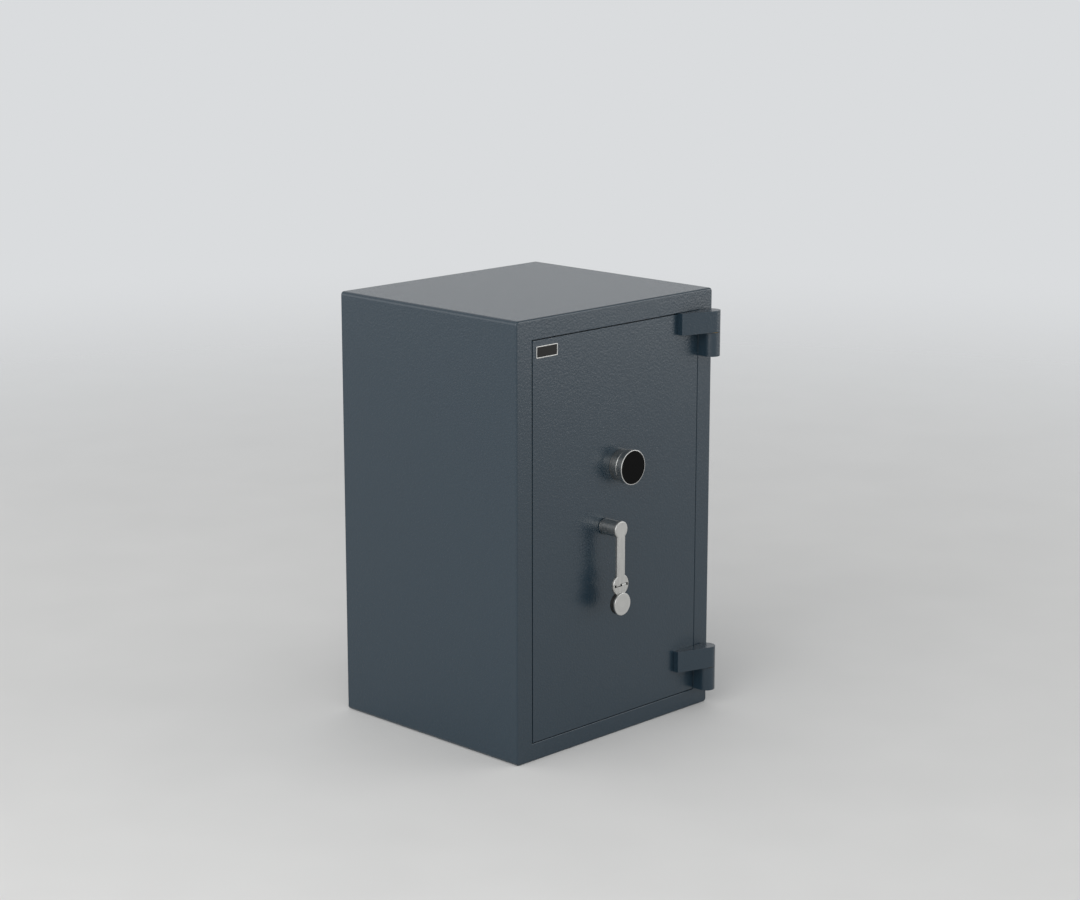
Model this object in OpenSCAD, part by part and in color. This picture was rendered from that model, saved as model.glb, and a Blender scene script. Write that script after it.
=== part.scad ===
// Floor-standing safe with one door on outside barrel hinges, a turning lock knob, a lever handle with a
// folding grip, and rack-and-pinion boltwork. Millimetres. X runs to the right as seen from the front, the
// door faces -Y, and the origin is the centre of the underside.

/* [Cabinet] */
// Overall width of the cabinet
body_w = 600; // [520:1:760]
// Overall depth of the cabinet without hinges and handle
body_d = 532; // [440:1:700]
// Overall height of the cabinet
body_h = 940; // [840:1:1300]
// Total thickness of each wall, from outer sheet to liner
wall_t = 60; // [54:1:70]
// Thickness of the outer sheet
shell_t = 3; // [2:0.5:4]
// Outside radius of the folded edges that run front to back
shell_r = 8; // [5:0.5:12]
// Outside radius of the fold round the front
front_r = 4; // [2:0.5:4.5]
// Thickness of the liner sheet
liner_t = 2; // [1:0.5:3]
// Thickness of the back plate
back_t = 4; // [2:0.5:6]
// Width of the frame at each side of the door opening
frame_side = 45; // [40:0.5:48]
// Width of the frame above the door opening
frame_top = 43.5; // [38:0.5:48]
// Width of the frame below the door opening
frame_bottom = 39; // [34:0.5:46]
// Thickness of the frame's lip, which the bolts catch
lip_t = 28; // [20:1:32]
// Room for the bolts behind the lip, front to back
groove_len = 30; // [27:1:40]
// How far the groove reaches outward past the throat
groove_reach = 20; // [19:0.5:24]
// Radius of the floor anchor hole
anchor_r = 9; // [6:0.5:10]
// Wall of the anchor sleeve
anchor_wall = 3; // [2:0.5:5]
// Distance of the anchor hole behind the centre
anchor_y = 90; // [0:1:130]

/* [Inside] */
// Height of the lower shelf's top face
lower_shelf_z = 330; // [260:25:410]
// Height of the upper shelf's top face
upper_shelf_z = 605; // [530:25:685]
// Sheet thickness of a shelf
shelf_t = 1.5; // [1:0.5:3]
// Depth of a shelf's folded edge
shelf_fold = 20; // [12:1:30]
// Width of a slotted upright
rail_w = 24; // [18:1:32]
// Thickness of a slotted upright
rail_t = 3; // [2.5:0.5:4]
// Spacing of the slots in an upright
slot_pitch = 25; // [20:1:40]

/* [Door] */
// Gap between the door and the frame
door_gap = 2; // [2:0.25:4]
// Thickness of the front plate
door_t = 10; // [8:0.5:12]
// Depth of the filled pan behind the front plate
pan_depth = 28; // [20:1:32]
// Depth of the boltwork case behind the pan
case_depth = 42; // [42:1:46]
// Thickness of the boltwork cover
cover_t = 2; // [1:0.5:3]
// Sheet thickness of the pan and of the boltwork case
pan_t = 3; // [2:0.5:4]
// Room between the door's inner case and the throat, at the sides
side_clear = 16; // [15:0.5:20]
// Room between the door's inner case and the throat, above and below
end_clear = 12; // [8:0.5:16]
// Size of the cover screws (head radius)
cover_screw_r = 4.5; // [3.5:0.5:5]

/* [Hinges] */
// Radius of the hinge barrels
barrel_r = 19; // [17:0.5:20]
// Distance of the hinge axis in front of the door face
hinge_out = 21; // [20.5:0.25:24]
// Distance of the hinge axis inside the cabinet's right side
hinge_in = 25.7; // [21:0.1:30]
// Height of a strap
strap_h = 47; // [36:1:60]
// Thickness of a strap at its free end
strap_t = 12.6; // [8:0.2:16]
// Reach of a strap from the hinge axis to its free end
strap_len = 86; // [60:1:120]
// Height of a fixed barrel
barrel_h = 52; // [40:1:64]
// Height of the thrust washer
washer_h = 1; // [0.5:0.25:3]
// Height of the upper strap above the door's top edge
strap_rise = 2; // [0:0.5:4]
// Height of the lower fixed barrel above the door's bottom edge
barrel_rise = 0.5; // [0:0.5:6]
// Radius of the hinge pins
pin_r = 8; // [6:0.5:10]

/* [Handle] */
// Distance of the handle axis to the left of the centre
handle_left = 38.5; // [30:0.5:60]
// Height of the handle axis
handle_z = 470; // [440:1:500]
// Radius of the hub
hub_r = 17.5; // [14:0.5:20]
// Radius of the arm's round head over the hub
head_r = 19; // [17.5:0.5:22]
// Distance of the arm's front face from the door
arm_out = 50; // [44:1:60]
// Thickness of the arm
arm_t = 6.5; // [5.5:0.5:8]
// Width of the arm
arm_w = 24; // [18:1:28]
// Radius of the rounding round the arm's front face
arm_edge = 2.2; // [0.5:0.1:2.5]
// Distance from the handle axis down to the fold
fold_drop = 120; // [100:1:150]
// Radius of the round end in which the fold lies
fold_r = 23.5; // [21:0.5:28]
// Radius of the fold pin
fold_pin_r = 1.2; // [1:0.1:1.4]
// Radius of the grip knob
knob_r = 24.5; // [20:0.5:28]
// Thickness of the grip knob with its steel cap
knob_t = 15; // [15:0.5:20]
// Distance from the fold down to the knob's centre
knob_drop = 41; // [38:1:50]
// How far the knob stands out past the arm's face
knob_proud = 4.5; // [2.5:0.5:4.5]
// Radius of the handle spindle
spindle_r = 8; // [6:0.5:9]

/* [Boltwork] */
// Radius of the round bolts
bolt_r = 11; // [9:0.5:12]
// Number of bolts on the opening side
side_bolt_count = 4; // [2:1:5]
// Distance of the end bolts from the ends of the case
bolt_margin = 110; // [80:1:130]
// Length of a side bolt outside the bar
bolt_len = 40; // [36:1:46]
// How far a drawn bolt stands out of the case
bolt_show = 6; // [4:0.5:7]
// Tooth size (module) of the drive pinion
drive_module = 2; // [1.5:0.25:2]
// Tooth count of the drive pinion
drive_teeth = 14; // [12:2:14]
// Width of the side bolt bar
bar_w = 24; // [18:1:28]
// Thickness of the side bolt bar
bar_t = 12; // [12:0.5:16]
// Width of the rods and of the bar's arms
rod_w = 18; // [15:0.5:22]
// Thickness of the vertical rods
rod_t = 10; // [8:0.5:10]
// Radius of the guide studs
stud_r = 5; // [4:0.25:5]

/* [Lock] */
// Distance of the lock knob to the right of the centre
lock_right = 10; // [0:0.5:30]
// Height of the lock knob above the handle axis
lock_rise = 124.5; // [110:0.5:150]
// Radius of the turning ring
ring_r = 37.5; // [32:0.5:44]
// Distance of the turning ring's front edge from the door
ring_out = 37; // [32:0.5:44]
// Thickness of the turning ring, front to back
ring_t = 16.5; // [12:0.5:20]
// Width of the bright rim round the black face
rim_w = 1.75; // [1.5:0.25:4]
// Radius of the fixed base under the ring
base_r = 35; // [28:0.5:37]
// Radius of the lock spindle
lock_spindle_r = 4; // [3:0.25:5]
// Tooth count of the lock pinion
lock_teeth = 12; // [12:2:14]
// Tooth size (module) of the lock pinion
lock_module = 1; // [0.8:0.1:1]
// Width of the lock case
lock_case_w = 60; // [58:1:72]
// Height of the lock case
lock_case_h = 64; // [60:1:80]
// Depth of the lock case
lock_case_d = 20; // [18:0.5:22]

/* [Badge] */
// Width of the badge
badge_w = 62; // [40:1:90]
// Height of the badge
badge_h = 25; // [16:1:40]
// Distance of the badge from the door's left edge
badge_left = 9.5; // [5:0.5:30]
// Distance of the badge from the door's top edge
badge_down = 12.5; // [8:0.5:30]
// Width of the badge's rim
badge_rim_w = 2; // [1:0.25:4]

/* [Hidden] */
$fn = 96;

// Colours
paint = [0.27, 0.31, 0.34];
bright_steel = [0.66, 0.66, 0.65];
dull_steel = [0.45, 0.46, 0.47];
fill_grey = [0.62, 0.61, 0.58];
black = [0.08, 0.08, 0.08];
brass = [0.72, 0.58, 0.30];

// Clearances
weld_gap = 0.2;      // between pieces that are welded or cast in place
run_gap = 0.05;      // radial, between a shaft and its bearing
fit_gap = 0.02;      // radial, between pieces pressed together
slip_gap = 0.1;      // each side, between a sliding piece and its guide
face_gap = 0.5;      // between flat faces that move past each other
seat_gap = 1;        // between the shut door's plate and the frame's lip
cut = 1;             // how far a cutter runs past a face
arc_steps = 4;       // straight pieces in a quarter of a small rounding
pressure_angle = 20; // of all racks and pinions

// Cabinet
half_w = body_w / 2;
front_y = -body_d / 2;
back_y = body_d / 2;
open_x = half_w - frame_side;
open_z = [frame_bottom, body_h - frame_top];
throat_x = half_w - wall_t;
throat_z = [wall_t, body_h - wall_t];
rebate_y = front_y + door_t + seat_gap;
lip_y = rebate_y + lip_t;
groove_y = lip_y + groove_len;
frame_web = 5;
frame_y = groove_y + frame_web;
groove_x = throat_x + groove_reach;
groove_z = [throat_z[0] - groove_reach, throat_z[1] + groove_reach];
inside_y = back_y - wall_t;
liner_y = inside_y + liner_t;
inner_r = max(shell_r - shell_t, 1);
seal_w = 6;
seal_t = 2;
seal_depth = 1.5;
seal_in = (open_x - throat_x - seal_w) / 2;

// Shelves and uprights
rail_x = throat_x - rail_t;
rail_end = 40;       // room above and below an upright
rail_in = 30;        // from a shelf's front and back edge to the uprights' middle
rail_z = [throat_z[0] + rail_end, throat_z[1] - rail_end];
slot_h = 4;
slot_w = 8;
slot_margin = 15;    // from an upright's end to the nearest slot
slot_first = rail_z[0] + slot_margin;
slot_count = floor((rail_z[1] - rail_z[0] - 2 * slot_margin) / slot_pitch) + 1;
shelf_back_gap = 6;
shelf_front_gap = 30;
shelf_y = [frame_y + shelf_front_gap, inside_y - shelf_back_gap];
rail_y = [shelf_y[0] + rail_in, shelf_y[1] - rail_in];
clip_w = 16;
clip_reach = 12;
clip_t = 2;
clip_drop = 14;
shelf_x = rail_x - clip_t - face_gap;

// Door
door_x = open_x - door_gap;
door_z = [open_z[0] + door_gap, open_z[1] - door_gap];
plate_y = front_y + door_t;
pan_x = throat_x - side_clear;
pan_z = [throat_z[0] + end_clear, throat_z[1] - end_clear];
pan_y = plate_y + pan_depth;
case_y = pan_y + case_depth;
cover_y = case_y + cover_t;
case_flange = 16;
cover_corner = 6;
hard_t = 5;
hard_half = 1.6 * ring_r;
screw_in = case_flange / 2;
screw_end = 40;      // from the case's ends to the nearest cover screws
screw_rows = 4;
screw_step = (pan_z[1] - pan_z[0] - 2 * screw_end) / (screw_rows - 1);
screw_places = [for (x = [screw_in - pan_x, pan_x - screw_in], i = [0:screw_rows - 1])
                [x, pan_z[0] + screw_end + i * screw_step]];
shank_r = 0.55 * cover_screw_r;
shank_past = 3;      // how far a cover screw's shank stands out of its flange
screw_head_h = 2.5;
dog_end = 70;        // from the pan's ends to the ends of the dog bar
dog_clear = 1.5;     // between the dog bar and the lip that it hooks behind
dog_short = 4;       // from the dog bar's tip to the bottom of the groove
dog_slope = 7;
badge_t = 0.8;
badge_rim_t = 1.2;
badge_corner = 2;

// Hinges
hinge_x = half_w - hinge_in;
hinge_y = front_y - hinge_out;
upper_strap_z = door_z[1] + strap_rise - strap_h;
lower_strap_z = door_z[0] + barrel_rise + barrel_h + washer_h;
pin_wall = 7;        // solid end beyond a hinge pin
pin_up = strap_h - pin_wall;
pin_down = barrel_h - pin_wall;
washer_in = 4;
strap_land = 2;      // how far inside the door's edge the strap's flat back ends

// Handle, measured outward from the door face
handle_x = -handle_left;
fold_z = handle_z - fold_drop;
knob_z = fold_z - knob_drop;
arm_back = arm_out - arm_t;
arm_span = [front_y - arm_out, front_y - arm_back];
arm_back_edge = 0.8;
knob_out = arm_out + knob_proud;
knob_back = knob_out - knob_t;
knob_edge = 1.2;
knob_rim = 0.8;      // how far the knob's cap stands out past its body all round
tongue_end = 6;      // how far the leaf reaches past the knob's middle
knob_screw_r = 3;
knob_head_r = 5;
knob_head_h = 2;
rosette_t = 1.5;
rosette_in = 1.5;
rosette_bore = spindle_r + 0.6;
small_edge = 0.5;
bush_wall = 4;
bush_r = spindle_r + bush_wall;
hub_cap = 8;         // solid end of the hub in front of the spindle
hub_screw_r = 3;
hub_screw_out = 20;
nut_r = 1.5 * spindle_r;
nut_h = 0.75 * spindle_r;
thread_past = 2;     // how far a threaded end stands out of its nut

// The fold. Its knuckles lie just under the front face, and behind them the two halves butt together, so
// that the grip folds forward and stops when it hangs straight
knuckle_wall = 1.25;
knuckle_r = fold_pin_r + knuckle_wall;
fold_gap = 0.3;
fold_reach = knuckle_r + fold_gap;
fold_y = arm_span[0] + knuckle_r;
relief = 5;          // width of the three openings between the knuckles
relief_side = fold_r - 6;
relief_x = [-relief_side, 0, relief_side];
arm_cuts = [[-fold_r - cut, relief_x[0] + relief / 2], [relief_x[1] - relief / 2, relief_x[2] + relief / 2]];
leaf_cuts = [[relief_x[0] - relief / 2, relief_x[1] + relief / 2], [relief_x[2] - relief / 2, fold_r + cut]];

// Boltwork layers, front to back: the bar's arms slide in front of the upright rods
drive_r = drive_module * drive_teeth / 2;
throw = drive_r * PI / 2;
drive_pitch = PI * drive_module;
bolt_clear = 2;      // between the bolts and the lip in front of them
bolt_y = lip_y + bolt_clear + bolt_r;
layer_a = [pan_y + face_gap, bolt_y - bar_t / 2];
layer_b = [bolt_y - rod_t / 2, bolt_y + rod_t / 2];
pinion_y = [layer_a[0] + face_gap, layer_b[1] - face_gap];
rack_add = 0.75;     // in modules: low enough not to foul the pinion's flanks
rack_ded = 1.2;
root_room = 0.25;    // in modules, between a rack's tips and the pinion's roots
bolt_tip_x = -pan_x - bolt_show;
bolt_root_x = bolt_tip_x + bolt_len;
bar_x = [bolt_root_x, bolt_root_x + bar_w];
bolt_step = (pan_z[1] - pan_z[0] - 2 * bolt_margin) / (side_bolt_count - 1);
bolt_z = [for (i = [0:side_bolt_count - 1]) pan_z[0] + bolt_margin + i * bolt_step];
drive_arm_z = handle_z - drive_r - rack_ded * drive_module;
top_rod_x = handle_x - drive_r - rack_ded * drive_module - rod_w / 2;
bottom_rod_x = handle_x + drive_r + rack_ded * drive_module + rod_w / 2;
rack_teeth = ceil(throw / drive_pitch) + 3;
upright_phase = drive_teeth % 4 == 0 ? 0.5 : 0;
drive_play = 0.15;
rack_play = 0.2;
bolt_nose = 2;
bar_end = 20;        // how far the bar reaches past its end bolts
tail_r = 0.36 * bolt_r;
tail_nut_r = 2 * tail_r;
tail_nut_h = 0.65 * bolt_r;
end_bolt_len = 84;
spigot_r = 3;
spigot_len = 20;
spigot_room = 1;     // beyond a spigot's end
stud_head_w = 3;
stud_head_r = stud_r + stud_head_w;
stud_head_t = 2;
slot_room = 1;       // beyond the travel, both ends together
slot_len = throw + 2 * stud_r + slot_room;
arm_stud_shift = 10; // of the studs in the bar's arms, from the middle between bar and rod
rod_stud_shift = 60; // of the studs in the rods, from the rods' middle

// Lock
lock_x = lock_right;
lock_z = handle_z + lock_rise;
lock_r = lock_module * lock_teeth / 2;
lock_travel = lock_r * PI / 2;
base_out = ring_out - ring_t - face_gap;
base_edge = 1.5;
ring_edge = 0.8;
ring_chamfer = 2;
ring_bore = 10;      // how deep the spindle goes into the ring
face_depth = 2.4;
face_sink = 0.3;     // how far the black face lies behind the rim
lug_w = 0.55 * throw;
lug_play = 0.3;      // between the thrown bar's lug and the blade
blade_w = throw - lug_w - face_gap - lug_play;
blade_x = lock_x + lock_r + rack_ded * lock_module;
lock_left = 28;      // from the lock case's left edge to the spindle
lock_case_x = [lock_x - lock_left, lock_x - lock_left + lock_case_w];
lock_case_z = [lock_z - lock_case_h / 2, lock_z + lock_case_h / 2];
lock_case_y = pan_y + lock_case_d;
lock_wall = 2;
lock_cover_t = 2;
blade_y = [pan_y + lock_wall, lock_case_y - lock_wall];
blade_show = 1;
blade_rise = 20;
blade_z = [lock_case_z[0] - blade_show, lock_z + blade_rise];
blade_room = 2;      // above the blade
rack_room = 6;       // below the blade's rack when it is thrown
lock_play = 0.1;
lug_x = [blade_x + blade_w + face_gap, blade_x + blade_w + face_gap + lug_w];
lug_h = 2 * lock_travel;
lug_drop = 3;        // between the drawn blade and the lug
lug_top = blade_z[0] - lug_drop;
lock_arm_z = lug_top - rod_w - lug_h;
lock_sleeve_wall = 2;
lock_sleeve_r = lock_spindle_r + lock_sleeve_wall;
lock_screw_in = 5;
lock_screw_r = 1.5;
lock_screw_len = 9;
lock_head_h = 2;
lock_screw_places = [for (x = [lock_case_x[0] + lock_screw_in, lock_case_x[1] - lock_screw_in],
                          z = [lock_case_z[0] + lock_screw_in, lock_case_z[1] - lock_screw_in]) [x, z]];

// Guide studs: two for the bar's arms, one for each rod
drive_stud = [(bar_x[1] + top_rod_x) / 2 + arm_stud_shift, drive_arm_z - rod_w / 2];
lock_stud = [(bar_x[1] + top_rod_x) / 2 + arm_stud_shift, lock_arm_z + rod_w / 2];
top_stud_z = (handle_z + pan_z[1] - end_bolt_len) / 2 + rod_stud_shift;
bottom_stud_z = (handle_z + pan_z[0] + end_bolt_len) / 2 - rod_stud_shift;

// Badge
badge_x = [badge_left - door_x, badge_left - door_x + badge_w];
badge_z = [door_z[1] - badge_down - badge_h, door_z[1] - badge_down];

// A box between [low, high] pairs
module block(x, y, z) {
    translate([x[0], y[0], z[0]]) cube([x[1] - x[0], y[1] - y[0], z[1] - z[0]]);
}

// Extrudes an outline drawn in X and Z from one depth to another
module slab(y) {
    translate([0, y[1], 0]) rotate([90, 0, 0]) linear_extrude(y[1] - y[0]) children();
}

// Extrudes an outline drawn in Y and Z from one x to another
module side_slab(x) {
    translate([x[0], 0, 0]) rotate([90, 0, 90]) linear_extrude(x[1] - x[0]) children();
}

// A rectangle with round corners between [low, high] pairs
module round_rect(x, z, r) {
    translate([x[0] + r, z[0]]) square([x[1] - x[0] - 2 * r, z[1] - z[0]]);
    translate([x[0], z[0] + r]) square([x[1] - x[0], z[1] - z[0] - 2 * r]);
    for (cx = [x[0] + r, x[1] - r], cz = [z[0] + r, z[1] - r]) translate([cx, cz]) circle(r);
}

// A rod along Y
module rod_y(x, z, y, r) {
    translate([x, y[1], z]) rotate([90, 0, 0]) cylinder(h = y[1] - y[0], r = r);
}

// A rod along X
module rod_x(y, z, x, r) {
    translate([x[0], y, z]) rotate([0, 90, 0]) cylinder(h = x[1] - x[0], r = r);
}

// Turns a profile of [radius, distance outward from the door face]
module turned_out(x, z, profile) {
    translate([x, front_y, z]) rotate([90, 0, 0]) rotate_extrude() polygon(profile);
}

// Points of an arc round (cx, cy), from angle a0 to a1
function arc(cx, cy, r, a0, a1) =
    [for (i = [0:arc_steps]) let (a = a0 + (a1 - a0) * i / arc_steps) [cx + r * cos(a), cy + r * sin(a)]];

// Profile of a solid disc with rounded rims
function disc_profile(r, h, e) =
    concat([[0, h[0]]], arc(r - e[0], h[0] + e[0], e[0], -90, 0),
           arc(r - e[1], h[1] - e[1], e[1], 0, 90), [[0, h[1]]]);

// Involute pinion, one tooth pointing at angle 270
function involute(a) = tan(a) * 180 / PI - a;
function half_tooth(r, pitch_r, teeth, play) =
    90 / teeth - play / pitch_r * 90 / PI + involute(pressure_angle)
    - involute(acos(min(1, pitch_r * cos(pressure_angle) / r)));
function tooth_side(pitch_r, teeth, play, root_r, tip_r) =
    let (low_r = max(pitch_r * cos(pressure_angle), root_r))
    [for (i = [0:5]) let (r = low_r + (tip_r - low_r) * i / 5) [r, half_tooth(r, pitch_r, teeth, play)]];

module pinion(pitch_r, teeth, mod, play, bore) {
    root_r = pitch_r - (rack_add + root_room) * mod;
    side = tooth_side(pitch_r, teeth, play, root_r, pitch_r + mod);
    n = len(side) - 1;
    difference() {
        polygon([for (t = [0:teeth - 1])
            let (mid = 270 + t * 360 / teeth)
            each concat(
                [root_r * [cos(mid - side[0][1]), sin(mid - side[0][1])]],
                [for (i = [0:n]) side[i][0] * [cos(mid - side[i][1]), sin(mid - side[i][1])]],
                [for (i = [n:-1:0]) side[i][0] * [cos(mid + side[i][1]), sin(mid + side[i][1])]],
                [root_r * [cos(mid + side[0][1]), sin(mid + side[0][1])]])]);
        circle(bore);
    }
}

// Rack whose teeth point up, with the pitch line at y = 0. Its foot reaches half a module into the bar
module rack(first, count, phase, mod, play) {
    pitch = PI * mod;
    add = rack_add * mod;
    ded = rack_ded * mod;
    root = pitch / 4 - play / 2 + ded * tan(pressure_angle);
    tip = pitch / 4 - play / 2 - add * tan(pressure_angle);
    ends = [first + phase - 0.5, first + phase + count - 0.5] * pitch;
    polygon(concat([[ends[0], -ded - mod / 2], [ends[0], -ded]],
        [for (i = [first:first + count - 1]) let (c = (i + phase) * pitch)
            each [[c - root, -ded], [c - tip, add], [c + tip, add], [c + root, -ded]]],
        [[ends[1], -ded], [ends[1], -ded - mod / 2]]));
}

// A slot with round ends, centred, that reaches `len` end to end
module slot(len, r) {
    square([len - 2 * r, 2 * r], center = true);
    for (s = [-1, 1]) translate([s * (len / 2 - r), 0]) circle(r);
}

module anchor_hole(r) {
    translate([0, anchor_y, -cut]) cylinder(h = wall_t + 2 * cut, r = r);
}

// ---- Cabinet ----

module outer_shell() {
    color(paint) difference() {
        slab([front_y, back_y]) round_rect([-half_w, half_w], [0, body_h], shell_r);
        slab([front_y + shell_t, back_y + cut])
            round_rect([shell_t - half_w, half_w - shell_t], [shell_t, body_h - shell_t], inner_r);
        block([-open_x, open_x], [front_y - cut, front_y + shell_t + cut], open_z);
        anchor_hole(anchor_r + anchor_wall + run_gap);
        front_rounding();
    }
}

// What the fold round the front takes off the square edge, on the four sides and at the four corners
module front_rounding() {
    side_x = half_w - shell_r;
    for (s = [0, 1]) mirror([s, 0, 0]) difference() {
        block([half_w - front_r, half_w + cut], [front_y - cut, front_y + front_r],
              [shell_r, body_h - shell_r]);
        translate([half_w - front_r, front_y + front_r, shell_r - cut])
            cylinder(h = body_h - 2 * shell_r + 2 * cut, r = front_r);
    }
    for (t = [0, 1]) translate([0, 0, t * body_h]) mirror([0, 0, t]) {
        difference() {
            block([-side_x, side_x], [front_y - cut, front_y + front_r], [-cut, front_r]);
            rod_x(front_y + front_r, front_r, [-side_x - cut, side_x + cut], front_r);
        }
        for (s = [0, 1]) mirror([s, 0, 0]) translate([side_x, front_y, shell_r]) rotate([-90, 0, 0])
            rotate_extrude(angle = 90) difference() {
                translate([shell_r - front_r, -cut]) square(front_r + cut);
                translate([shell_r - front_r, front_r]) circle(front_r);
            }
    }
}

// Outline of what fits inside the outer sheet
module shell_inside() {
    g = shell_t + weld_gap;
    round_rect([g - half_w, half_w - g], [g, body_h - g], inner_r);
}

module back_plate() {
    color(paint) slab([back_y - back_t, back_y]) shell_inside();
}

module seal_ring(extra, depth) {
    difference() {
        block([-throat_x - seal_in - seal_w - extra, throat_x + seal_in + seal_w + extra], depth,
              [throat_z[0] - seal_in - seal_w - extra, throat_z[1] + seal_in + seal_w + extra]);
        block([-throat_x - seal_in + extra, throat_x + seal_in - extra], [depth[0] - cut, depth[1] + cut],
              [throat_z[0] - seal_in + extra, throat_z[1] + seal_in - extra]);
    }
}

module door_frame() {
    color(paint) difference() {
        slab([front_y + shell_t, frame_y]) shell_inside();
        block([-open_x, open_x], [front_y, rebate_y], open_z);
        block([-throat_x, throat_x], [front_y, frame_y + cut], throat_z);
        block([-groove_x, groove_x], [lip_y, groove_y], groove_z);
        seal_ring(slip_gap, [rebate_y - cut, rebate_y + seal_depth]);
    }
}

module frame_seal() {
    color(black) seal_ring(0, [rebate_y + seal_depth - seal_t, rebate_y + seal_depth]);
}

module body_fill() {
    color(fill_grey) difference() {
        slab([frame_y, back_y - back_t]) shell_inside();
        block([-throat_x - liner_t, throat_x + liner_t], [frame_y - cut, liner_y],
              [throat_z[0] - liner_t, throat_z[1] + liner_t]);
        anchor_hole(anchor_r + anchor_wall + run_gap);
    }
}

module inner_liner() {
    color(paint) difference() {
        block([-throat_x - liner_t, throat_x + liner_t], [frame_y, liner_y],
              [throat_z[0] - liner_t, throat_z[1] + liner_t]);
        block([-throat_x, throat_x], [frame_y - cut, inside_y], throat_z);
        anchor_hole(anchor_r + anchor_wall + run_gap);
    }
}

module anchor_sleeve() {
    color(dull_steel) translate([0, anchor_y, 0]) difference() {
        cylinder(h = wall_t, r = anchor_r + anchor_wall);
        translate([0, 0, -cut]) cylinder(h = wall_t + 2 * cut, r = anchor_r);
    }
}

module upright() {
    difference() {
        translate([-rail_w / 2, rail_z[0]]) square([rail_w, rail_z[1] - rail_z[0]]);
        for (i = [0:slot_count - 1])
            translate([-slot_w / 2, slot_first + i * slot_pitch]) square([slot_w, slot_h]);
    }
}

module shelf_rails() {
    color(dull_steel) for (y = rail_y) translate([0, y, 0]) {
        side_slab([rail_x, throat_x]) upright();
        side_slab([-throat_x, -rail_x]) upright();
    }
}

// Height of the slot that a shelf's clips hook into, and the shelf face that follows from it
function slot_near(z) = slot_first + slot_pitch * round((z - shelf_fold - slot_first) / slot_pitch);
function shelf_top(z) = slot_near(z) + shelf_fold;

// Clip: a plate against the upright, a ledge under the shelf and a hook in the slot
module clip() {
    block([rail_x - clip_t, rail_x], [-clip_w / 2, clip_w / 2], [-clip_drop, slot_h - face_gap]);
    block([rail_x - clip_reach, rail_x], [-clip_w / 2, clip_w / 2], [-clip_t, 0]);
    block([rail_x - cut, rail_x + rail_t - face_gap], [face_gap - slot_w / 2, slot_w / 2 - face_gap],
          [face_gap, slot_h - face_gap]);
}

module shelf_clips() {
    color(bright_steel) for (z = [lower_shelf_z, upper_shelf_z], y = rail_y)
        translate([0, y, slot_near(z)]) { clip(); mirror([1, 0, 0]) clip(); }
}

module shelf(z) {
    top = shelf_top(z);
    color(paint) difference() {
        block([-shelf_x, shelf_x], shelf_y, [top - shelf_fold, top]);
        block([shelf_t - shelf_x, shelf_x - shelf_t], [shelf_y[0] + shelf_t, shelf_y[1] - shelf_t],
              [top - shelf_fold - cut, top - shelf_t]);
    }
}

module upper_shelf() { shelf(upper_shelf_z); }
module lower_shelf() { shelf(lower_shelf_z); }

module hinge_barrel(strap_z) {
    top = strap_z - washer_h;
    color(paint) difference() {
        union() {
            translate([hinge_x, hinge_y, top - barrel_h]) cylinder(h = barrel_h, r = barrel_r);
            block([hinge_x - barrel_r, hinge_x + barrel_r], [hinge_y, front_y], [top - barrel_h, top]);
        }
        translate([hinge_x, hinge_y, top - pin_down]) cylinder(h = pin_down + cut, r = pin_r + run_gap);
    }
}

module upper_hinge_barrel() { hinge_barrel(upper_strap_z); }
module lower_hinge_barrel() { hinge_barrel(lower_strap_z); }

module hinge_pin(strap_z) {
    color(bright_steel) translate([hinge_x, hinge_y, strap_z - washer_h - pin_down])
        cylinder(h = pin_down + washer_h + pin_up, r = pin_r);
}

module upper_hinge_pin() { hinge_pin(upper_strap_z); }
module lower_hinge_pin() { hinge_pin(lower_strap_z); }

module hinge_washers() {
    color(brass) for (z = [upper_strap_z, lower_strap_z]) translate([hinge_x, hinge_y, z - washer_h])
        difference() {
            cylinder(h = washer_h - run_gap, r = barrel_r - washer_in);
            translate([0, 0, -cut]) cylinder(h = washer_h + 2 * cut, r = pin_r + run_gap);
        }
}

// ---- Door ----

module door_plate() {
    color(paint) difference() {
        block([-door_x, door_x], [front_y, plate_y], door_z);
        rod_y(handle_x, handle_z, [front_y - cut, plate_y + cut], bush_r + run_gap);
        rod_y(lock_x, lock_z, [front_y - cut, plate_y + cut], lock_sleeve_r + run_gap);
    }
}

module door_pan() {
    color(paint) difference() {
        block([-pan_x, pan_x], [plate_y, pan_y], pan_z);
        block([pan_t - pan_x, pan_x - pan_t], [plate_y - cut, pan_y - pan_t],
              [pan_z[0] + pan_t, pan_z[1] - pan_t]);
        rod_y(handle_x, handle_z, [plate_y, pan_y + cut], bush_r + run_gap);
        rod_y(lock_x, lock_z, [plate_y, pan_y + cut], lock_sleeve_r + run_gap);
    }
}

module hard_plate_block(extra) {
    half = hard_half + extra;
    block([lock_x - half, lock_x + half], [plate_y - extra, plate_y + hard_t + extra],
          [lock_z - half, lock_z + half]);
}

module hard_plate() {
    color(dull_steel) difference() {
        hard_plate_block(0);
        rod_y(lock_x, lock_z, [plate_y - cut, plate_y + hard_t + cut], lock_sleeve_r + run_gap);
    }
}

module door_fill() {
    color(fill_grey) difference() {
        block([pan_t - pan_x, pan_x - pan_t], [plate_y, pan_y - pan_t], [pan_z[0] + pan_t, pan_z[1] - pan_t]);
        hard_plate_block(weld_gap);
        rod_y(handle_x, handle_z, [plate_y - cut, pan_y], bush_r + run_gap);
        rod_y(lock_x, lock_z, [plate_y - cut, pan_y], lock_sleeve_r + run_gap);
    }
}

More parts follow.
